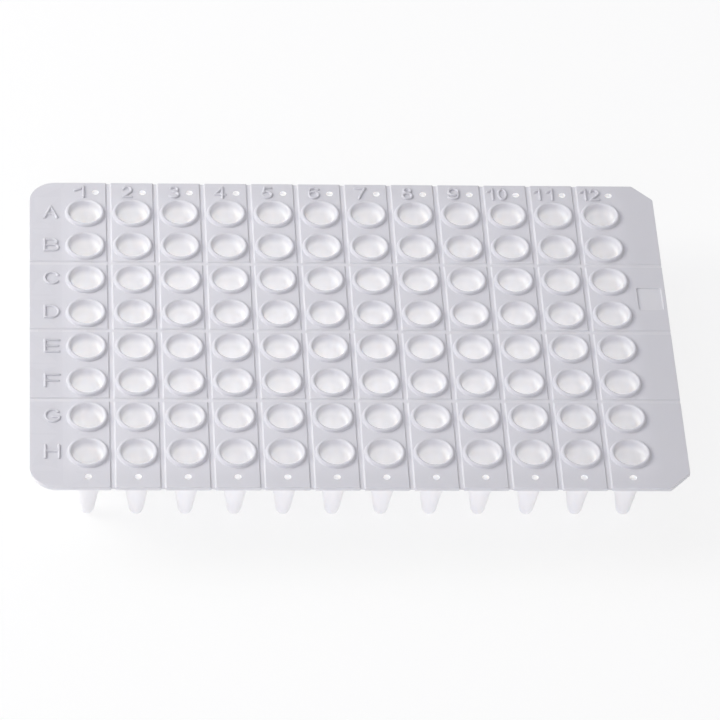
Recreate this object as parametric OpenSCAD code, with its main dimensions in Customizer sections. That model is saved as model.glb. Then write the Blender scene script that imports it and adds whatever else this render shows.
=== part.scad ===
// Low-profile well plate for thermal cycling, moulded in one piece.
// A thin flat deck carries a grid of tapered tubes with raised rims.
// Grooves on both faces of the deck let it be cut into smaller blocks.
// The origin is under the middle of the deck, level with the tips of the tubes.

/* [Well grid] */
// Number of well columns, along X
columns = 12; // [4:1:12]
// Number of well rows, along Y
rows = 8; // [4:2:8]
// Distance between the centres of neighbouring wells
pitch = 9; // [9:0.1:9.6]

/* [Deck] */
// Thickness of the flat deck
deck_t = 0.85; // [0.8:0.05:1.2]
// From the centre of an outer column to the side edge
side_margin = 10.55; // [10.4:0.05:14]
// From the centre of an outer row to the front or back edge
end_margin = 8.55; // [7.5:0.05:12]
// Radius of the two rounded corners, beside the first column
corner_r = 5; // [2:0.1:6]
// Length of the two cut corners, beside the last column
corner_cut = 3.8; // [2:0.1:6]
// Radius of the rounding at both ends of a cut corner
cut_round_r = 0.5; // [0.2:0.1:1]

/* [Breaking grooves] */
// Width of a groove at the face of the deck
groove_w = 1.1; // [0.8:0.05:1.1]
// Width of a groove at its floor
groove_floor_w = 0.65; // [0.4:0.05:0.75]
// Depth of the grooves in the top face
top_groove_depth = 0.25; // [0.15:0.05:0.25]
// Depth of the grooves in the underside
under_groove_depth = 0.3; // [0.15:0.05:0.3]
// Rows left together between two grooves
rows_per_block = 2; // [1:1:4]

/* [Rims] */
// Height of a rim above the deck
rim_h = 0.55; // [0.5:0.05:0.8]
// Radius of a rim at its foot
rim_foot_r = 3.88; // [3.76:0.02:3.88]
// Radius of a rim at its crest
rim_crest_r = 3.42; // [3.4:0.01:3.46]
// Radius of the rounding along the crest
crest_round_r = 0.26; // [0.2:0.01:0.26]

/* [Wells] */
// Depth from the top of the deck to the outside of a tube's tip
tube_depth = 15.55; // [14:0.05:20]
// Angle between a tube's tapered wall and its axis
taper_angle = 8.5; // [8.25:0.25:9]
// Outer radius of the straight neck under the deck
neck_r = 3.1; // [3.05:0.05:3.15]
// Outer radius of the rounded tip
tip_r = 1.36; // [1.3:0.02:1.4]
// Thickness of the tapered wall
wall = 0.36; // [0.32:0.01:0.38]
// Radius of the straight seat that a cap's plug fits
seat_r = 2.7; // [2.65:0.01:2.72]
// Depth of the top of the seat below the deck
seat_top = 1.1; // [0.9:0.05:1.2]

/* [Small holes] */
// Diameter of the holes along the front and back edges
hole_d = 1.3; // [1:0.1:1.8]
// From the centre of an outer row to the line of holes beside it
hole_offset = 5.9; // [5.4:0.05:6.2]
// Step to the right of the back holes from their columns
back_hole_shift = 2.05; // [0:0.05:2.5]

/* [Marking panel] */
// Width of the shallow panel, along X
panel_w = 4.8; // [3:0.1:5]
// Length of the panel, along Y
panel_l = 6.1; // [4:0.1:7]
// Depth of the panel
panel_depth = 0.25; // [0.1:0.05:0.4]
// From the centre of the last column to the middle of the panel
panel_offset = 7.5; // [7:0.1:7.8]

/* [Hidden] */
$fn = 64;

deck_l = (columns - 1) * pitch + 2 * side_margin;
deck_w = (rows - 1) * pitch + 2 * end_margin;

// how far a cut runs past an edge, and how far a groove's cutter stands above its face
past = 1;
lip = 0.05;

// heights are measured from the top face of the deck, so what lies below it is negative
tip_z = tip_r - tube_depth;
crest_z = rim_h - crest_round_r;

// where the funnel of the mouth meets the rounded crest of the rim
mouth_angle = 140;
mouth_r = rim_crest_r + crest_round_r * cos(mouth_angle);
mouth_z = crest_z + crest_round_r * sin(mouth_angle);
funnel_slope = (mouth_r - seat_r) / (mouth_z + seat_top);

function column_x(c) = (c - (columns - 1) / 2) * pitch;
function row_y(r) = ((rows - 1) / 2 - r) * pitch;

// where a tapered wall leaves a tip of radius r, and where it has widened to radius wide
function taper_foot(r) = [r * cos(taper_angle), tip_z - r * sin(taper_angle)];
function taper_top(r, wide) =
  [wide, tip_z + (wide * cos(taper_angle) - r) / sin(taper_angle)];

module each_well() {
  for (c = [0 : columns - 1])
    for (r = [0 : rows - 1])
      translate([column_x(c), row_y(r), 0])
        children();
}

module each_column() {
  for (c = [0 : columns - 1])
    translate([column_x(c), 0, 0])
      children();
}

// a long cut with sloping sides, along Y, into the face at z = 0
module trough(length, face_w, floor_w, depth) {
  side_slope = (face_w - floor_w) / 2 / depth;
  half_top = face_w / 2 + side_slope * lip;
  rotate([90, 0, 0])
    linear_extrude(length, center = true)
      polygon([
        [-floor_w / 2, -depth],
        [floor_w / 2, -depth],
        [half_top, lip],
        [-half_top, lip]
      ]);
}

// the grooves of one face, which is at z = 0 and looks up
module groove_grid(depth) {
  for (c = [1 : columns - 1])
    translate([column_x(c - 0.5), 0, 0])
      trough(deck_w + 2 * past, groove_w, groove_floor_w, depth);
  for (r = [rows_per_block : rows_per_block : rows - 1])
    translate([0, row_y(r - 0.5), 0])
      rotate([0, 0, 90])
        trough(deck_l + 2 * past, groove_w, groove_floor_w, depth);
}

// what a cut takes off the corner at the origin, both ends of the cut rounded
module corner_offcut(side) {
  reach = cut_round_r * tan(22.5);
  difference() {
    polygon([
      [-corner_cut - reach, 0],
      [-corner_cut - reach, side * past],
      [past, side * past],
      [past, -side * (corner_cut + reach)],
      [0, -side * (corner_cut + reach)],
      [-reach * sin(45), -side * (corner_cut - reach * sin(45))],
      [-corner_cut + reach * sin(45), -side * reach * sin(45)]
    ]);
    translate([-corner_cut - reach, -side * cut_round_r])
      circle(cut_round_r);
    translate([-cut_round_r, -side * (corner_cut + reach)])
      circle(cut_round_r);
  }
}

// the plan of the deck, rounded on the left and cut off on the right
module deck_plan() {
  difference() {
    square([deck_l, deck_w], center = true);
    for (side = [-1, 1]) {
      translate([-deck_l / 2, side * deck_w / 2])
        difference() {
          square(2 * corner_r, center = true);
          translate([corner_r, -side * corner_r])
            circle(corner_r);
        }
      translate([deck_l / 2, side * deck_w / 2])
        corner_offcut(side);
    }
  }
}

module deck() {
  translate([0, 0, -deck_t])
    linear_extrude(deck_t)
      deck_plan();
}

// the round end of a tube or of its inside, as a half section
module tip_section(r) {
  foot = taper_foot(r);
  intersection() {
    translate([0, tip_z])
      circle(r);
    translate([0, foot[1] - r])
      square(r);
  }
}

// the outside of a tube and its rim, as a half section
module tube_section() {
  foot = taper_foot(tip_r);
  mid_z = -deck_t / 2;
  flank_slope = (rim_foot_r - rim_crest_r - crest_round_r) / crest_z;
  tip_section(tip_r);
  polygon([
    [0, foot[1]],
    foot,
    taper_top(tip_r, neck_r),
    [neck_r, mid_z],
    [rim_foot_r - flank_slope * mid_z, mid_z],
    [rim_crest_r + crest_round_r, crest_z],
    [0, crest_z]
  ]);
  translate([rim_crest_r, crest_z])
    circle(crest_round_r);
}

// the inside of a well: round bottom, taper, seat and funnel, as a half section
module cavity_section() {
  tip = tip_r - wall;
  foot = taper_foot(tip);
  above_z = rim_h + past;
  tip_section(tip);
  polygon([
    [0, foot[1]],
    foot,
    taper_top(tip, seat_r),
    [seat_r, -seat_top],
    [seat_r + funnel_slope * (above_z + seat_top), above_z],
    [0, above_z]
  ]);
}

// the two lines of small holes, one beside the front row and one beside the back row
module small_holes() {
  front_y = row_y(rows - 1) - hole_offset;
  back_y = row_y(0) + hole_offset;
  each_column() {
    translate([0, front_y, -deck_t - past])
      cylinder(h = deck_t + 2 * past, d = hole_d);
    translate([back_hole_shift, back_y, -deck_t - past])
      cylinder(h = deck_t + 2 * past, d = hole_d);
  }
}

// a shallow rectangle with sloping sides, between the third and fourth rows
module marking_panel() {
  floor_w = panel_w - 2 * panel_depth;
  floor_l = panel_l - 2 * panel_depth;
  translate([column_x(columns - 1) + panel_offset, row_y(2.5), 0])
    intersection() {
      trough(2 * panel_l, panel_w, floor_w, panel_depth);
      rotate([0, 0, 90])
        trough(2 * panel_w, panel_l, floor_l, panel_depth);
    }
}

module well_plate() {
  color("ghostwhite")
    translate([0, 0, tube_depth])
      difference() {
        union() {
          deck();
          each_well()
            rotate_extrude()
              tube_section();
        }
        each_well()
          rotate_extrude()
            cavity_section();
        small_holes();
        groove_grid(top_groove_depth);
        translate([0, 0, -deck_t])
          mirror([0, 0, 1])
            groove_grid(under_groove_depth);
        marking_panel();
      }
}

well_plate();
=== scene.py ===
import math

import bmesh
import bpy
from mathutils import Matrix, Vector


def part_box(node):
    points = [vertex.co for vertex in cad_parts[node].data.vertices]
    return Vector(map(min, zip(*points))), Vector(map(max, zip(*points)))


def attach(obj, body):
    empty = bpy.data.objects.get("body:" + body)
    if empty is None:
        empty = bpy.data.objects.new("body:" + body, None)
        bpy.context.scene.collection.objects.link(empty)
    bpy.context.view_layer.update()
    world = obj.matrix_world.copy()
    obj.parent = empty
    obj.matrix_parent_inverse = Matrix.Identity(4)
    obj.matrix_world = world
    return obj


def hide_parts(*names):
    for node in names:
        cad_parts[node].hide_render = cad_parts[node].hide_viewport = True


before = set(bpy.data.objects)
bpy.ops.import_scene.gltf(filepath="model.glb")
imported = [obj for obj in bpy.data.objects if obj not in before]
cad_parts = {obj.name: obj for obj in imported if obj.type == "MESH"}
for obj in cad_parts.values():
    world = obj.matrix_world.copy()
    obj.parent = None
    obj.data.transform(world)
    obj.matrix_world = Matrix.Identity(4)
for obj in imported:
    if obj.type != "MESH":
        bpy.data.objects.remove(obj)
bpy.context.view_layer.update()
plateLow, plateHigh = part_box("well_plate")
mm = 0.001
weldGap = 0.002 * mm            # vertices closer than this are one
fineGap = 0.001 * mm            # the same for a cut and for the lettering, which is finer
facesUp = 0.99                  # Z of the normal from which a face counts as level
smoothAngle = math.radians(50)
scene = bpy.context.scene
print("frame loaded")


def selectOnly(thing):
    bpy.ops.object.select_all(action="DESELECT")
    thing.select_set(True)
    bpy.context.view_layer.objects.active = thing


def startEditing(thing, kind="VERT"):
    selectOnly(thing)
    bpy.ops.object.mode_set(mode="EDIT")
    bpy.ops.mesh.select_mode(type=kind)
    bpy.ops.mesh.select_all(action="DESELECT")


def stopEditing():
    bpy.ops.object.mode_set(mode="OBJECT")


# the primitive just added gets its name, and its place and size go into its mesh
def settlePrimitive(name):
    bpy.ops.object.transform_apply(location=True, rotation=True, scale=True)
    thing = bpy.context.object
    rename(thing, name)
    return thing


def rename(thing, name):
    thing.name = name
    thing.data.name = name


# selects what passes the test in the mesh being edited, and says how many there were
def pick(kind, test):
    bpy.ops.mesh.select_mode(type=kind)
    bpy.ops.mesh.select_all(action="DESELECT")
    mesh = bpy.context.object.data
    cage = bmesh.from_edit_mesh(mesh)
    parts = {"VERT": cage.verts, "EDGE": cage.edges, "FACE": cage.faces}[kind]
    found = [part for part in parts if test(part)]
    for part in found:
        part.select_set(True)
    cage.select_flush_mode()
    bmesh.update_edit_mesh(mesh)
    return len(found)


def close(a, b):
    return abs(a - b) < weldGap


def weld(gap):
    bpy.ops.mesh.select_all(action="SELECT")
    bpy.ops.mesh.remove_doubles(threshold=gap)


def cutAcross(place, facing):
    bpy.ops.mesh.select_all(action="SELECT")
    bpy.ops.mesh.bisect(plane_co=place, plane_no=facing, threshold=fineGap)


def applyModifiers(thing):
    selectOnly(thing)
    for modifier in list(thing.modifiers):
        bpy.ops.object.modifier_apply(modifier=modifier.name)


def repeatAlong(thing, count, step):
    row = thing.modifiers.new("repeat", "ARRAY")
    row.count = count
    row.use_relative_offset = False
    row.use_constant_offset = True
    row.constant_offset_displace = step
    applyModifiers(thing)


def joinAll(things, name):
    selectOnly(things[0])
    for thing in things[1:]:
        thing.select_set(True)
    bpy.ops.object.join()
    rename(things[0], name)
    return things[0]


# a closed mesh has none of these
def countOpenEdges():
    return pick("EDGE", lambda edge: len(edge.link_faces) != 2)


def countTriangles(thing):
    thing.data.calc_loop_triangles()
    return len(thing.data.loop_triangles)


# the plate is one moulding, so it is one closed mesh; sizes in mm
plate = {
    "columns": 12,
    "rows": 8,
    "pitch": 9.0,
    "rimHeight": 0.55,
    "deckThick": 0.85,
    # how far a corner or an edge is taken back, and in how many segments
    "roundCorner": (5.0, 10),
    "cutCorner": (3.8, 1),
    "cutEnd": (0.207, 3),
    "edge": (0.06, 2),
    "tileHalf": 3.92,           # half a square tile of deck round one well
    # half the width of a groove at its lip, just inside it, just above its floor and at its floor
    "grooveLines": [0.58, 0.53, 0.35, 0.30],
    "topSink": [0.0, 0.03, 0.225, 0.25],        # how deep it is there in the top face
    "underSink": [0.0, 0.035, 0.265, 0.30],     # and in the underside
    "rowsPerBlock": 2,
    "panel": {
        "pastColumn": 7.5,      # from the last column to its middle
        "belowRow": 3,
        "size": (4.8, 6.1),
        "depth": 0.25,
        "corner": (0.4, 4),
        "wall": 0.08,
        "lip": 0.03,            # width of the softened edges of its walls
        "lipSlope": 0.3,
        "cleared": 0.6,         # pitches in front of it and behind that are filled in again round it
    },
    "hole": {"radius": 0.65, "outFromRow": 5.9, "backShift": 2.05, "sides": 20},
}

pitch = plate["pitch"] * mm
deckTop = plateHigh.z - plate["rimHeight"] * mm
deckUnder = deckTop - plate["deckThick"] * mm
deckMiddle = (deckTop + deckUnder) / 2
columnX = [(c - (plate["columns"] - 1) / 2) * pitch for c in range(plate["columns"])]
rowY = [((plate["rows"] - 1) / 2 - r) * pitch for r in range(plate["rows"])]
columnGrooves = [x + pitch / 2 for x in columnX[:-1]]
block = plate["rowsPerBlock"]
rowGrooves = [rowY[r] + pitch / 2 for r in range(block, plate["rows"], block)]
tileHalf = plate["tileHalf"] * mm


def bevelEdges(test, reach, segments):
    pick("EDGE", test)
    bpy.ops.mesh.bevel(offset=reach * mm, segments=segments, affect="EDGES")


# rounds the corners beside the first column, cuts those beside the last, and softens the edges
def shapeOutline():
    def upright(edge, side):
        a, b = [vert.co for vert in edge.verts]
        return not close(a.z, b.z) and a.x * side > 0
    bevelEdges(lambda edge: upright(edge, -1), *plate["roundCorner"])
    bevelEdges(lambda edge: upright(edge, 1), *plate["cutCorner"])
    bevelEdges(lambda edge: upright(edge, 1), *plate["cutEnd"])
    bevelEdges(lambda edge: close(edge.verts[0].co.z, edge.verts[1].co.z), *plate["edge"])


# the lines that the deck is cut along, in one direction
def gridLines(centres, grooves):
    lines = {round(centre + side * tileHalf, 7) for centre in centres for side in (-1, 1)}
    for groove in grooves:
        for half in plate["grooveLines"]:
            lines |= {round(groove - half * mm, 7), round(groove + half * mm, 7)}
    return sorted(lines)


def cutGrid():
    for x in gridLines(columnX, columnGrooves):
        cutAcross((x, 0, 0), (1, 0, 0))
    for y in gridLines(rowY, rowGrooves):
        cutAcross((0, y, 0), (0, 1, 0))


# how far a groove has sunk at this distance from the middle of the nearest one
def sinkAt(place, grooves, sinks):
    slack = 0.005
    away = min(abs(place - groove) for groove in grooves)
    sunk = [sink for half, sink in zip(plate["grooveLines"], sinks) if away < (half + slack) * mm]
    return max(sunk, default=0.0)


# every vertex of a face goes down, or up, by the deeper of its two grooves
def sinkGrooves():
    for sinks, way, above in ((plate["topSink"], -1, True), (plate["underSink"], 1, False)):
        for level in sinks[1:]:
            def onLevel(vert):
                if (vert.co.z > deckMiddle) != above:
                    return False
                return level == max(
                    sinkAt(vert.co.x, columnGrooves, sinks), sinkAt(vert.co.y, rowGrooves, sinks))
            pick("VERT", onLevel)
            bpy.ops.transform.translate(value=(0, 0, way * level * mm))


# where two grooves cross, their walls meet along a mitre
def mitreCrossings():
    leastBend = 0.02 * mm
    steepest = 0.3

    def crossing(face):
        heights = [vert.co.z for vert in face.verts]
        bend = abs(sum(heights[::2]) - sum(heights[1::2]))
        return len(heights) == 4 and abs(face.normal.z) > steepest and bend > leastBend
    print("mitred faces:", pick("FACE", crossing))
    bpy.ops.mesh.quads_convert_to_tris(quad_method="LONGEST_DIAGONAL")


# the shallow marking panel, let into the right margin of the deck being edited
def sinkPanel():
    panel = plate["panel"]
    row = rowY[panel["belowRow"] - 1]
    middle = Vector((columnX[-1] + panel["pastColumn"] * mm, row - pitch / 2, deckTop))
    wide, long = [side * mm for side in panel["size"]]
    reach, segments = panel["corner"]
    lip = panel["lip"] * mm
    lipDrop = panel["lipSlope"] * lip

    def overPanel(face):
        at = face.calc_center_median()
        inMargin = face.normal.z > facesUp and at.x > columnX[-1] + tileHalf
        return inMargin and abs(at.y - middle.y) < panel["cleared"] * pitch
    pick("FACE", overPanel)
    bpy.ops.mesh.delete(type="FACE")
    bpy.ops.mesh.primitive_plane_add(size=wide, location=middle)
    bpy.ops.transform.resize(value=(1, long / wide, 1), center_override=middle)
    bpy.ops.mesh.bevel(offset=reach * mm, segments=segments, affect="VERTICES")
    bpy.ops.mesh.select_mode(type="FACE")
    bpy.ops.mesh.inset(thickness=lip, depth=-lipDrop)
    bpy.ops.mesh.inset(thickness=panel["wall"] * mm, depth=2 * lipDrop - panel["depth"] * mm)
    bpy.ops.mesh.inset(thickness=lip, depth=-lipDrop)
    pick("EDGE", lambda edge: len(edge.link_faces) == 1 and close(edge.verts[0].co.z, deckTop))
    bpy.ops.mesh.fill(use_beauty=True)


# room for the tiles that carry the wells and the holes
def openTiles():
    near = 0.01 * mm

    def carriesTile(face):
        at = face.calc_center_median()
        if abs(face.normal.z) < facesUp or min(abs(at.x - x) for x in columnX) > near:
            return False
        inGrid = abs(at.y) < rowY[0] + tileHalf
        return not inGrid or min(abs(at.y - y) for y in rowY) < near
    print("tiles opened:", pick("FACE", carriesTile))
    bpy.ops.mesh.delete(type="FACE")


def makeDeck():
    size = plateHigh - plateLow
    bpy.ops.mesh.primitive_cube_add(
        size=1, location=(0, 0, deckMiddle), scale=(size.x, size.y, deckTop - deckUnder))
    deck = settlePrimitive("deck")
    startEditing(deck, "EDGE")
    shapeOutline()
    cutGrid()
    sinkGrooves()
    mitreCrossings()
    sinkPanel()
    openTiles()
    stopEditing()
    return deck


# sizes in mm; a blend is a few points, each so far outward and up from the corner that it softens
well = {
    "sides": 36,
    "rimFoot": 3.88,
    "rimFootBlend": [(-0.13, 0.09), (-0.07, 0.025), (0, 0)],
    "crestRadius": 3.35,
    "crestRound": 0.38,
    "crestArc": (168, 2, 6),    # degrees, from the mouth over to the outside, and steps
    "seatRadius": 2.70,
    "seatTop": 1.10,            # below the deck
    "seatTopBlend": [(0, -0.4), (0.02, -0.1), (0.06, 0.2)],
    "seatFootBlend": [(-0.04, -0.268), (0, 0.05)],
    "wall": 0.36,
    "neckRadius": 3.10,
    "neckTopBlend": [(0.2, 0), (0.06, -0.04), (0, -0.15)],
    "neckFootBlend": [(0, 0.05), (-0.02, -0.134)],
    "taper": 8.5,               # degrees off upright
    "tipRadius": 1.36,
    "tipSteps": 3,
}

# the middle of a round tip, from the axis and from the deck's face
tipMiddle = (0, well["tipRadius"] - (deckTop - plateLow.z) / mm)


# points on an arc, as (distance from the axis, height), both in mm
def arc(middle, radius, start, end, steps):
    turns = [math.radians(start + (end - start) * n / steps) for n in range(steps + 1)]
    return [(middle[0] + radius * math.cos(t), middle[1] + radius * math.sin(t)) for t in turns]


def blend(name, out, up):
    return [(out + more, up + higher) for more, higher in well[name]]


# how high the taper that leaves a tip of this radius has widened to a given radius
def taperHeight(tip, wide):
    lean = math.radians(well["taper"])
    return tipMiddle[1] + (wide * math.cos(lean) - tip) / math.sin(lean)


# the inside of a well, its mouth and its rim, from the bottom up and over
def insideProfile():
    tip = well["tipRadius"] - well["wall"]
    seat = well["seatRadius"]
    crest = (well["crestRadius"], plate["rimHeight"] - well["crestRound"])
    points = arc(tipMiddle, tip, -90, -well["taper"], well["tipSteps"])
    points += blend("seatFootBlend", seat, taperHeight(tip, seat))
    points += blend("seatTopBlend", seat, -well["seatTop"])
    points += arc(crest, well["crestRound"], *well["crestArc"])
    points += blend("rimFootBlend", well["rimFoot"], 0)
    return [(0, points[0][1])] + points[1:]


# the outside of a tube below the deck, from the deck down to its tip
def outsideProfile():
    tip = well["tipRadius"]
    neck = well["neckRadius"]
    points = blend("neckTopBlend", neck, -plate["deckThick"])
    points += blend("neckFootBlend", neck, taperHeight(tip, neck))
    points += arc(tipMiddle, tip, -well["taper"], -90, well["tipSteps"])
    return points[:-1] + [(0, tipMiddle[1] - tip)]


# draws a profile beside an upright axis, vertex by vertex, in the mesh being edited
def drawProfile(points, axis):
    start = (axis[0] + points[0][0] * mm, axis[1], deckTop + points[0][1] * mm)
    bpy.ops.mesh.select_all(action="DESELECT")
    bpy.ops.mesh.primitive_plane_add(size=mm, location=start)
    bpy.ops.mesh.merge(type="CENTER")
    for last, point in zip(points, points[1:]):
        step = ((point[0] - last[0]) * mm, 0, (point[1] - last[1]) * mm)
        bpy.ops.mesh.extrude_region_move(TRANSFORM_OT_translate={"value": step})


# fills both faces of a tile of deck, from its outline to the ring inside it
def fillTile(low, high):
    wide, long = high[0] - low[0], high[1] - low[1]
    for z in (deckTop, deckUnder):
        middle = (low[0] + wide / 2, low[1] + long / 2, z)
        bpy.ops.mesh.select_all(action="DESELECT")
        bpy.ops.mesh.primitive_plane_add(size=wide, location=middle)
        bpy.ops.transform.resize(value=(1, long / wide, 1), center_override=middle)
        bpy.ops.mesh.delete(type="ONLY_FACE")

        def unfilled(edge):
            return all(close(vert.co.z, z) for vert in edge.verts) and len(edge.link_faces) < 2
        pick("EDGE", unfilled)
        bpy.ops.mesh.fill(use_beauty=True)


def makeWells():
    x, y = columnX[0], rowY[-1]
    bpy.ops.mesh.primitive_plane_add(size=mm, location=(x, y, deckTop))
    wells = settlePrimitive("wells")
    startEditing(wells)
    bpy.ops.mesh.select_all(action="SELECT")
    bpy.ops.mesh.delete(type="VERT")
    drawProfile(insideProfile(), (x, y))
    drawProfile(outsideProfile(), (x, y))
    bpy.ops.mesh.select_all(action="SELECT")
    bpy.ops.mesh.spin(steps=well["sides"], angle=math.tau, center=(x, y, 0), axis=(0, 0, 1))
    weld(weldGap)
    fillTile((x - tileHalf, y - tileHalf), (x + tileHalf, y + tileHalf))
    stopEditing()
    repeatAlong(wells, plate["columns"], (pitch, 0, 0))
    repeatAlong(wells, plate["rows"], (0, pitch, 0))
    return wells


# a tile with a round hole through it, repeated along the front edge or the back one
def makeHoles(name, side, shift):
    hole = plate["hole"]
    at = (columnX[0] + shift * mm, side * (rowY[0] + hole["outFromRow"] * mm), deckTop)
    ends = sorted((side * (rowY[0] + tileHalf), side * (plateHigh.y - plate["edge"][0] * mm)))
    bpy.ops.mesh.primitive_circle_add(
        vertices=hole["sides"], radius=hole["radius"] * mm, location=at)
    tiles = settlePrimitive(name)
    startEditing(tiles)
    bpy.ops.mesh.select_all(action="SELECT")
    bpy.ops.mesh.extrude_region_move(
        TRANSFORM_OT_translate={"value": (0, 0, deckUnder - deckTop)})
    fillTile((columnX[0] - tileHalf, ends[0]), (columnX[0] + tileHalf, ends[1]))
    stopEditing()
    repeatAlong(tiles, plate["columns"], (pitch, 0, 0))
    return tiles


# level faces shade as flat ones, right up to the roundings that meet them
def shadePlate(whole):
    bpy.ops.object.shade_smooth_by_angle(angle=smoothAngle)
    startEditing(whole, "EDGE")
    level = 0.9999

    def roundsFlat(edge):
        flat = [abs(face.normal.z) > level for face in edge.link_faces]
        return any(flat) and not all(flat)
    pick("EDGE", roundsFlat)
    bpy.ops.mesh.mark_sharp()
    stopEditing()
    weighted = whole.modifiers.new("flat faces stay flat", "WEIGHTED_NORMAL")
    weighted.keep_sharp = True
    weighted.weight = 100
    applyModifiers(whole)


def makePlate():
    parts = [makeDeck(), makeWells(), makeHoles("front_holes", -1, 0)]
    parts.append(makeHoles("back_holes", 1, plate["hole"]["backShift"]))
    whole = joinAll(parts, "white_plate")
    startEditing(whole)
    weld(weldGap)
    bpy.ops.mesh.normals_make_consistent(inside=False)
    print("plate's open edges:", countOpenEdges())
    stopEditing()
    shadePlate(whole)
    print("plate's triangles:", countTriangles(whole))
    return whole


# raised letters and numbers, drawn with a round-ended tool; sizes in mm
lettering = {
    "strokeHalf": 0.28,         # half the width of a stroke at its foot
    "strokeResolution": 3,
    # rings of a stroke's round end: their size, and how far out they lie, against the half width
    "roundEnd": [(0.98, 0.2), (0.87, 0.5), (0.64, 0.77), (0.26, 0.97)],
    "sharpTurn": 40,            # degrees, from which a stroke is drawn in two goes
    "sunk": 0.02,               # how far it reaches into the deck
    "letterHeight": 3.0,        # between the middles of the strokes
    "numberHeight": 2.8,
    "letterRise": 1.08,         # height of a stroke against its half width
    "numberRise": 1.2,
    "besideRow": (-7.70, 0.30),     # the left stroke of a letter, and its middle
    "beyondColumn": 6.0,
    "startOfDigits": {"10": (-3.40, -1.26), "11": (-3.26, -0.86), "12": (-3.37, -1.80)},
    "startOfDigit": -2.01,
}


# points of an arc in a sign's own square
def bow(x, y, wide, high, start, end, steps=10):
    turns = [math.radians(start + (end - start) * n / steps) for n in range(steps + 1)]
    return [(x + wide * math.cos(t), y + high * math.sin(t)) for t in turns]


# each sign is a few strokes; x runs from its left stroke, and its height is 1
signs = {
    "A": [[(0, 0), (0.395, 1), (0.79, 0)],
          [(0.13, 0.33), (0.66, 0.33)]],
    "B": [[(0, 0), (0, 1), (0.52, 1)] + bow(0.53, 0.74, 0.245, 0.26, 80, -80)
          + [(0.52, 0.48), (0, 0.48)],
          [(0.54, 0.48)] + bow(0.59, 0.24, 0.275, 0.24, 80, -80) + [(0.54, 0), (0, 0)]],
    "C": [bow(0.445, 0.5, 0.445, 0.5, 29, 325, 20)],
    "D": [[(0, 0), (0, 1), (0.36, 1)] + bow(0.38, 0.5, 0.475, 0.5, 80, -80, 14)
          + [(0.36, 0), (0, 0)]],
    "E": [[(0.86, 1), (0, 1), (0, 0), (0.86, 0)],
          [(0, 0.49), (0.79, 0.49)]],
    "F": [[(0.86, 1), (0, 1), (0, 0)],
          [(0, 0.49), (0.79, 0.49)]],
    "G": [bow(0.445, 0.5, 0.445, 0.5, 41, 318, 20) + [(0.85, 0.25), (0.86, 0.4)],
          [(0.86, 0.4), (0.48, 0.4)]],
    "H": [[(0, 0), (0, 1)],
          [(0.83, 0), (0.83, 1)],
          [(0, 0.53), (0.83, 0.53)]],
    "0": [bow(0.26, 0.5, 0.26, 0.5, 90, 450, 24)],
    "1": [[(0.04, 0.62), (0.28, 0.72), (0.47, 0.85), (0.634, 1)],
          [(0.634, 1), (0.634, 0)]],
    "short 1": [[(0, 0.72), (0.18, 0.83), (0.356, 1)],
                [(0.356, 1), (0.356, 0)]],
    "2": [bow(0.414, 0.68, 0.276, 0.32, 165, -30, 12) + [(0.14, 0), (0.69, 0)]],
    "3": [bow(0.40, 0.76, 0.255, 0.24, 150, -90, 12) + bow(0.39, 0.26, 0.31, 0.26, 90, -155, 12)],
    "4": [[(0.504, 0), (0.504, 1), (0, 0.3), (0.68, 0.3)]],
    "5": [[(0.63, 1), (0.2, 1), (0.1, 0.51)] + bow(0.35, 0.315, 0.32, 0.315, 122, -150, 14)],
    "6": [bow(0.36, 0.31, 0.325, 0.31, 180, -180, 20),
          [(0.045, 0.37)] + bow(0.4, 0.62, 0.36, 0.38, 178, 40, 12)],
    "7": [[(0.01, 1), (0.69, 1), (0.54, 0.7), (0.41, 0.4), (0.31, 0.19), (0.25, 0)]],
    "8": [bow(0.39, 0.765, 0.235, 0.235, 90, 450, 20),
          bow(0.375, 0.265, 0.32, 0.265, 90, 450, 20)],
    "9": [bow(0.36, 0.69, 0.325, 0.31, 0, 360, 20),
          [(0.678, 0.63)] + bow(0.325, 0.36, 0.355, 0.36, 0, -148, 12)],
}


# a stroke that doesn't run back into itself gets shrinking rings at both ends
def withRoundEnds(path, half):
    rings = lettering["roundEnd"]
    first = (path[0] - path[1]).normalized() * half
    last = (path[-1] - path[-2]).normalized() * half
    front = [path[0] + first * out for size, out in reversed(rings)]
    back = [path[-1] + last * out for size, out in rings]
    shrunk = [size for size, out in rings]
    return front + path + back, shrunk[::-1] + [1.0] * len(path) + shrunk


# one stroke is a tube along its points, closed at both ends
def makeStroke(points):
    half = lettering["strokeHalf"] * mm
    looped = points[0] == points[-1]
    curve = bpy.data.curves.new("stroke", "CURVE")
    curve.dimensions = "3D"
    curve.bevel_depth = half
    curve.bevel_resolution = lettering["strokeResolution"]
    curve.use_fill_caps = True
    path = [Vector(point) for point in (points[:-1] if looped else points)]
    sizes = [1.0] * len(path)
    if not looped:
        path, sizes = withRoundEnds(path, half)
    line = curve.splines.new("POLY")
    line.points.add(len(path) - 1)
    line.use_cyclic_u = looped
    for point, at, size in zip(line.points, path, sizes):
        point.co = (*at, 1)
        point.radius = size
    stroke = bpy.data.objects.new("stroke", curve)
    scene.collection.objects.link(stroke)
    selectOnly(stroke)
    bpy.ops.object.convert(target="MESH")
    return bpy.context.object


# a stroke is drawn in one go until it turns sharply
def smoothRuns(points):
    sharpTurn = math.radians(lettering["sharpTurn"])
    runs = [[points[0]]]
    for last, point, after in zip(points, points[1:], points[2:]):
        runs[-1].append(point)
        inward = Vector(point) - Vector(last)
        outward = Vector(after) - Vector(point)
        if inward.angle(outward, 0) > sharpTurn:
            runs.append([point])
    runs[-1].append(points[-1])
    return runs


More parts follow.
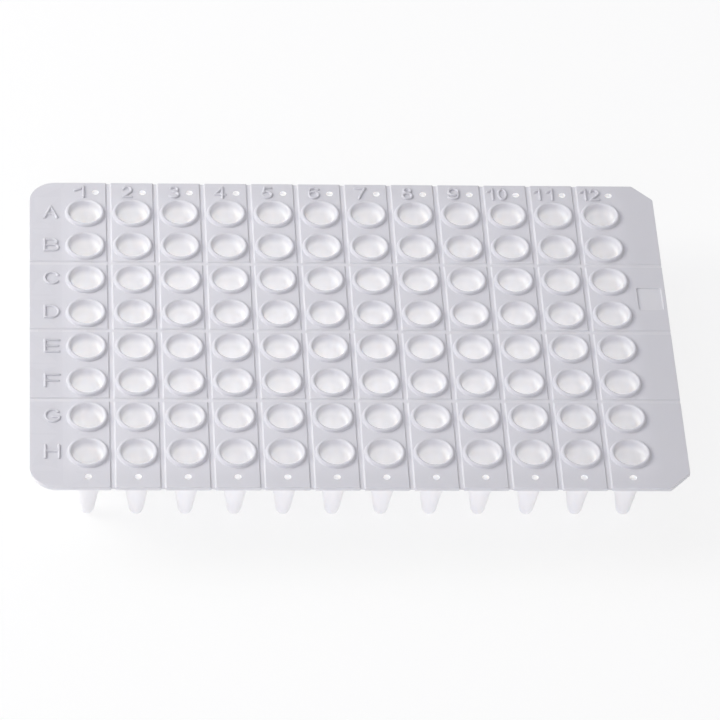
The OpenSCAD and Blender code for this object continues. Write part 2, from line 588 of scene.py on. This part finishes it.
# a sign on the deck, from the middle of its left stroke
def makeSign(name, start, middle, height):
    strokes = []
    for points in signs[name]:
        drawn = [(round(x, 4), round(y, 4)) for x, y in points]
        placed = [(start + x * height * mm, middle + (y - 0.5) * height * mm, deckTop)
                  for x, y in dict.fromkeys(drawn)]
        if drawn[0] == drawn[-1]:
            placed.append(placed[0])
        strokes += [makeStroke(run) for run in smoothRuns(placed)]
    return strokes


# fuses the strokes and keeps what stands above the deck, and a little below its face
def fuseStrokes(thing):
    size = plateHigh - plateLow
    foot = deckTop - lettering["sunk"] * mm
    tall = 2 * mm
    bpy.ops.mesh.primitive_cube_add(
        size=1, location=(0, 0, foot + tall / 2), scale=(size.x, size.y, tall))
    above = settlePrimitive("above the deck")
    fuse = thing.modifiers.new("fuse the strokes", "BOOLEAN")
    fuse.operation = "INTERSECT"
    fuse.solver = "EXACT"
    fuse.use_self = True
    fuse.object = above
    applyModifiers(thing)
    bpy.data.objects.remove(above)


# the strokes become one low ridge
def finishLettering(strokes, name, rise):
    thing = joinAll(strokes, name)
    startEditing(thing)
    weld(fineGap)
    bpy.ops.transform.resize(value=(1, 1, rise), center_override=(0, 0, deckTop))
    bpy.ops.mesh.normals_make_consistent(inside=False)
    stopEditing()
    fuseStrokes(thing)
    startEditing(thing)
    weld(fineGap)
    print(name, "open edges:", countOpenEdges())
    stopEditing()
    bpy.ops.object.shade_smooth_by_angle(angle=smoothAngle)
    print(name, "triangles:", countTriangles(thing))
    return thing


def makeRowLetters():
    strokes = []
    start, middle = [value * mm for value in lettering["besideRow"]]
    for letter, y in zip("ABCDEFGH", rowY):
        strokes += makeSign(letter, columnX[0] + start, y + middle, lettering["letterHeight"])
    return finishLettering(strokes, "row_letters", lettering["letterRise"])


def makeColumnNumbers():
    strokes = []
    middle = rowY[0] + lettering["beyondColumn"] * mm
    for count, x in enumerate(columnX, start=1):
        word = str(count)
        digits = [word] if len(word) == 1 else [digit.replace("1", "short 1") for digit in word]
        starts = lettering["startOfDigits"].get(word, (lettering["startOfDigit"],))
        for digit, start in zip(digits, starts):
            strokes += makeSign(digit, x + start * mm, middle, lettering["numberHeight"])
    return finishLettering(strokes, "column_numbers", lettering["numberRise"])


whitePlate = makePlate()
print("plate made")
rowLetters = makeRowLetters()
columnNumbers = makeColumnNumbers()
print("lettering made")


# a socket that can stand in a sum; add() makes any other node
class Wire:
    def __init__(self, tree, socket=None):
        self.tree = tree
        self.socket = socket

    def add(self, kind, settings, inputs, output=0):
        node = self.tree.nodes.new(kind)
        for name, value in settings.items():
            setattr(node, name, value)
        for name, value in inputs.items():
            if isinstance(value, Wire):
                self.tree.links.new(value.socket, node.inputs[name])
            else:
                node.inputs[name].default_value = value
        return Wire(self.tree, node.outputs[output])

    def maths(self, operation, a, b):
        return self.add("ShaderNodeMath", {"operation": operation}, {0: a, 1: b})

    def __add__(self, other):
        return self.maths("ADD", self, other)

    def __radd__(self, other):
        return self.maths("ADD", other, self)

    def __sub__(self, other):
        return self.maths("SUBTRACT", self, other)

    def __rsub__(self, other):
        return self.maths("SUBTRACT", other, self)

    def __mul__(self, other):
        return self.maths("MULTIPLY", self, other)

    def __rmul__(self, other):
        return self.maths("MULTIPLY", other, self)

    def __pow__(self, other):
        return self.maths("POWER", self, other)

    def __rpow__(self, other):
        return self.maths("POWER", other, self)

    def __abs__(self):
        return self.maths("ABSOLUTE", self, 0)

    def __lt__(self, other):
        return self.maths("LESS_THAN", self, other)

    def __gt__(self, other):
        return self.maths("GREATER_THAN", self, other)


def larger(a, b):
    return a.maths("MAXIMUM", a, b)


# goes from one value to another between two places
def ramp(value, start, end, first, last, kind="LINEAR"):
    return value.add("ShaderNodeMapRange", {"interpolation_type": kind}, {
        "Value": value, "From Min": start, "From Max": end, "To Min": first, "To Max": last})


def scaled(colour, share):
    return share.add("ShaderNodeVectorMath", {"operation": "SCALE"}, {0: colour, "Scale": share})


def splitUp(vector):
    return [vector.add("ShaderNodeSeparateXYZ", {}, {0: vector}, axis) for axis in "XYZ"]


def emptyMaterial(name):
    material = bpy.data.materials.new(name)
    material.use_nodes = True
    material.node_tree.nodes.clear()
    return material, Wire(material.node_tree)


# ends a tree of nodes in its output
def connect(shader, kind):
    output = shader.tree.nodes.new(kind)
    shader.tree.links.new(shader.socket, output.inputs["Surface"])


# depths are mm below the deck's face
whitePolypropylene = {
    "deckColour": (0.608, 0.602, 0.645, 1),
    # painted light: the walls' colour is much lighter than the deck's and stands for light that comes
    # through them
    "wallPaintedLightColour": (0.95, 0.945, 0.95, 1),
    "tipColour": (0.905, 0.9, 0.91, 1),
    "deckRoughness": (0.46, 0.54),      # where the cloudy pattern is darkest and lightest
    "wallRoughness": 0.45,
    "ior": 1.49,
    "deckScatter": 0.15,
    "deckReach": 0.5,           # mm that light travels inside
    "wallReach": 0.35,
    "scatterTint": (1.0, 0.95, 0.9),
    "wallDepth": (-0.45, 1.8),  # from where it looks like the deck to where it looks like a wall
    "tipDepth": (5.0, 8.5),
    "glowDepth": (2.4, 5.2),
    "glow": (0.016, 0.142),     # at those depths; a painted glow that stands for light that comes through thin walls
    "outerGlow": 0.76,          # what is left of it in the outer wells
    "glowFades": (0.6, 0.43),   # where it starts to fade, against the last column and row
    "outsideGlow": 0.78,        # and what is left on the outsides of the tubes
    "edgeSteep": 0.3,           # Z of the normal below which the deck's rim counts as upright
    "edgeDepth": 0.03,
    "outerWallPaintedLight": 0.3,           # painted light: how much the rim of the deck takes the lighter look of a thin wall
    "lipPaintedLight": 0.26,            # and the same painted light on the inner side of a well's rim
    "lipReach": (2.95, 3.4),    # mm from the axis of the well
    "firstTubesPaintedShade": 0.87,         # painted shade: tone of the outsides of the first tubes against the others
    "firstReach": 1.5,          # pitches that it takes to reach the others' tone
    "amongWells": 1.06,         # painted light: tone of the deck between the wells against its margins
    "marginStart": (3.0, 6.0),  # mm past the outer wells, over which that ends
    # painted shade: tone of the right margin against the rest of the deck
    "rightMarginPaintedShade": 0.96,
    "rightStart": (2.0, 5.0),
    "holeReach": 0.7,           # mm from the line of holes
    # painted glow on the walls of the holes, which also take the lighter painted-light colour of a
    # wall
    "holePaintedGlow": 0.08,
    "cloudScale": 70.0,
    "cloudRange": (0.3, 0.7),   # values of the pattern between which the tone changes
    "cloudTone": (0.985, 1.0),
    "grain": 0.02,              # mm, how high the fine grain of the mould stands
    "grainScale": 2600.0,
    "grainStrength": 0.25,
}


# where a point of the plate lies, and masks that are 1 in one part of the plate and 0 elsewhere
def findPlace(wire):
    look = whitePolypropylene
    place = wire.add("ShaderNodeTexCoord", {}, {}, "Object")
    x, y, z = splitUp(place)
    facing = splitUp(wire.add("ShaderNodeTexCoord", {}, {}, "Normal"))
    wrap = {"operation": "WRAP"}
    fromAxis = [wire.add("ShaderNodeMath", wrap, {0: value, 1: pitch, 2: 0.0}) - pitch / 2
                for value in (x, y)]
    acrossWells = abs(x) < columnX[-1] + pitch / 2
    amongWells = acrossWells * (abs(y) < rowY[0] + pitch / 2)
    upright = abs(facing[2]) < look["edgeSteep"]
    edge = upright * (z < deckTop - look["edgeDepth"] * mm) * (1 - amongWells)
    holeLine = rowY[0] + plate["hole"]["outFromRow"] * mm
    return {
        "place": place, "x": x, "y": y, "z": z,
        "fromAxis": (fromAxis[0] * fromAxis[0] + fromAxis[1] * fromAxis[1]) ** 0.5,
        "amongWells": amongWells,
        "edge": edge,
        "inHole": edge * (abs(abs(y) - holeLine) < look["holeReach"] * mm) * acrossWells,
        # an outside faces away from the axis of the nearest well
        "outside": (facing[0] * fromAxis[0] + facing[1] * fromAxis[1]) > 0.0,
    }


# goes from one value to another between two depths below the deck's face
def rampDown(at, depths, shallow, deep, kind="LINEAR"):
    return ramp(at["z"], deckTop - depths[1] * mm, deckTop - depths[0] * mm, deep, shallow, kind)


# the tubes are thinner than the deck and let more light through, and so do the deck's edges; the
# lighter colour they get here is painted light
def wallShare(at):
    look = whitePolypropylene
    tubes = rampDown(at, look["wallDepth"], 0.0, 1.0, "SMOOTHSTEP")
    inner, outer = look["lipReach"]
    lips = ramp(at["fromAxis"], inner * mm, outer * mm, look["lipPaintedLight"], 0.0) * at["amongWells"]
    edges = larger(at["inHole"], at["edge"] * look["outerWallPaintedLight"])
    return larger(larger(tubes, edges), lips)


# the tips are a little darker, and the outsides of the first tubes are darker with painted shade
def wallTone(at):
    look = whitePolypropylene
    tone = at["z"].add("ShaderNodeMix", {"data_type": "RGBA"}, {
        0: rampDown(at, look["tipDepth"], 0.0, 1.0), 6: look["wallPaintedLightColour"], 7: look["tipColour"]}, 2)
    lastOne = columnX[0] + look["firstReach"] * pitch
    darker = ramp(at["x"], columnX[0], lastOne, 1.0 - look["firstTubesPaintedShade"], 0.0)
    return scaled(tone, 1.0 - at["outside"] * darker)


# painted glow that stands for the light that comes through the thin walls, weaker in the outer wells
def wallGlow(at):
    look = whitePolypropylene
    glow = rampDown(at, look["glowDepth"], *look["glow"])
    for value, last, share in zip((at["x"], at["y"]), (columnX[-1], rowY[0]), look["glowFades"]):
        glow = glow * ramp(abs(value), share * last, last, 1.0, look["outerGlow"])
    glow = glow * (1.0 - at["outside"] * (1.0 - look["outsideGlow"]))
    return scaled(look["wallPaintedLightColour"][:3], glow + at["inHole"] * look["holePaintedGlow"])


# painted light makes the deck a little lighter between the wells, and painted shade a little darker in
# the right margin
def deckTone(at, cloud):
    look = whitePolypropylene
    start, end = [value * mm for value in look["marginStart"]]
    lift = ramp(abs(at["x"]), columnX[-1] + start, columnX[-1] + end, look["amongWells"] - 1.0, 0.0)
    lift = lift * ramp(abs(at["y"]), rowY[0] + start, rowY[0] + end, 1.0, 0.0)
    start, end = [value * mm for value in look["rightStart"]]
    lift = lift + ramp(at["x"], columnX[-1] + start, columnX[-1] + end, 0.0, look["rightMarginPaintedShade"] - 1.0)
    shade = ramp(cloud, *look["cloudRange"], *look["cloudTone"])
    return scaled(look["deckColour"][:3], shade * (1.0 + lift))


def makePolypropylene():
    look = whitePolypropylene
    material, wire = emptyMaterial("white_polypropylene_moulded")
    at = findPlace(wire)
    cloud = wire.add("ShaderNodeTexNoise", {}, {
        "Vector": at["place"], "Scale": look["cloudScale"], "Detail": 3.0})
    grain = wire.add("ShaderNodeTexNoise", {}, {
        "Vector": at["place"], "Scale": look["grainScale"], "Detail": 2.0})
    bump = wire.add("ShaderNodeBump", {}, {
        "Height": grain, "Strength": look["grainStrength"], "Distance": look["grain"] * mm})
    smoothest, roughest = look["deckRoughness"]
    shared = {"Normal": bump, "IOR": look["ior"], "Subsurface Radius": look["scatterTint"]}
    deckShader = wire.add("ShaderNodeBsdfPrincipled", {"subsurface_method": "RANDOM_WALK"}, {
        **shared, "Base Color": deckTone(at, cloud),
        "Roughness": cloud * (roughest - smoothest) + smoothest,
        "Subsurface Weight": look["deckScatter"], "Subsurface Scale": look["deckReach"] * mm})
    paintedLightShader = wire.add("ShaderNodeBsdfPrincipled", {"subsurface_method": "RANDOM_WALK"}, {
        **shared, "Base Color": wallTone(at), "Roughness": look["wallRoughness"],
        "Subsurface Weight": 1.0, "Subsurface Scale": look["wallReach"] * mm,
        "Emission Color": wallGlow(at), "Emission Strength": 1.0})
    mixed = wire.add("ShaderNodeMixShader", {}, {0: wallShare(at), 1: deckShader, 2: paintedLightShader})
    connect(mixed, "ShaderNodeOutputMaterial")
    return material


polypropylene = makePolypropylene()
for piece in (whitePlate, rowLetters, columnNumbers):
    piece.data.materials.clear()
    piece.data.materials.append(polypropylene)
    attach(piece, "root")
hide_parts("well_plate")
print("materials made")


# 1 for a ray that looks at something straight, in a mirror or through glass
def lookingRay(wire):
    kinds = ("Is Camera Ray", "Is Glossy Ray", "Is Transmission Ray")
    camera, glossy, through = [wire.add("ShaderNodeLightPath", {}, {}, kind) for kind in kinds]
    return camera + glossy + through


floorLook = {"size": 6.0, "colour": (0.94, 0.94, 0.95, 1), "seenGlow": 0.8}


def makeFloor():
    bpy.ops.mesh.primitive_plane_add(size=floorLook["size"], location=(0, 0, plateLow.z))
    floor = settlePrimitive("floor")
    material, wire = emptyMaterial("pale_floor")
    matt = wire.add("ShaderNodeBsdfDiffuse", {}, {"Color": floorLook["colour"]})
    glow = wire.add("ShaderNodeEmission", {}, {"Color": (1, 1, 1, 1), "Strength": 1.0})
    share = lookingRay(wire) * floorLook["seenGlow"]
    mixed = wire.add("ShaderNodeMixShader", {}, {0: share, 1: matt, 2: glow})
    connect(mixed, "ShaderNodeOutputMaterial")
    floor.data.materials.append(material)


studio = {
    "room": (0.41, 0.404, 0.382, 1),
    "lamps": {
        # name: place in metres, size in metres, strength in watts, colour
        "left": ((-0.38, 0.06, 0.26), 0.25, 0.91, (1.0, 1.0, 0.95)),
        "far_left": ((-0.75, 0.12, 0.48), 0.35, 1.6, (1.0, 1.0, 0.95)),
        "back": ((-0.3, 0.7, 0.9), 1.0, 3.3, (0.75, 0.76, 1.0)),
        "front": ((-0.3, -1.4, 0.6), 1.2, 8.5, (0.86, 0.87, 1.0)),
    },
}


# the room lights softly from all round, and is white where it is looked at
def makeRoom():
    world = bpy.data.worlds.new("studio")
    scene.world = world
    world.use_nodes = True
    world.node_tree.nodes.clear()
    wire = Wire(world.node_tree)
    colour = wire.add("ShaderNodeMix", {"data_type": "RGBA"}, {
        0: lookingRay(wire), 6: studio["room"], 7: (1, 1, 1, 1)}, 2)
    room = wire.add("ShaderNodeBackground", {}, {"Color": colour, "Strength": 1.0})
    connect(room, "ShaderNodeOutputWorld")


def makeLamps():
    for name, (place, size, power, colour) in studio["lamps"].items():
        bpy.ops.object.light_add(type="AREA", location=place)
        lamp = bpy.context.object
        lamp.name = name
        lamp.data.size = size
        lamp.data.energy = power
        lamp.data.color = colour
        aim = Vector((0, 0, deckTop)) - Vector(place)
        lamp.rotation_euler = aim.to_track_quat("-Z", "Y").to_euler()


cameraView = {
    "aim": (1.1373, -7.5753),   # mm on the deck
    "distance": 851.55,         # mm
    "turn": 6.1918,             # degrees, from straight in front towards the left
    "height": 45.1066,          # degrees above the deck
    "roll": 4.6168,             # degrees
    "lens": 229.35,
    "sensor": 36,
}


def makeCamera():
    view = cameraView
    turn, height, roll = [math.radians(view[name]) for name in ("turn", "height", "roll")]
    level = math.cos(height)
    forward = Vector((math.sin(turn) * level, math.cos(turn) * level, -math.sin(height)))
    aim = Vector((view["aim"][0] * mm, view["aim"][1] * mm, deckTop))
    data = bpy.data.cameras.new("camera")
    data.lens = view["lens"]
    data.sensor_width = view["sensor"]
    data.clip_start = 0.01
    camera = bpy.data.objects.new("camera", data)
    scene.collection.objects.link(camera)
    camera.location = aim - forward * view["distance"] * mm
    upright = forward.to_track_quat("-Z", "Y").to_matrix()
    camera.rotation_euler = (upright @ Matrix.Rotation(roll, 3, "Z")).to_euler()
    scene.camera = camera


makeFloor()
makeRoom()
makeLamps()
makeCamera()
scene.view_settings.view_transform = "Standard"
scene.cycles.diffuse_bounces = 12   # the insides of the wells are lit by many bounces
print("studio made")
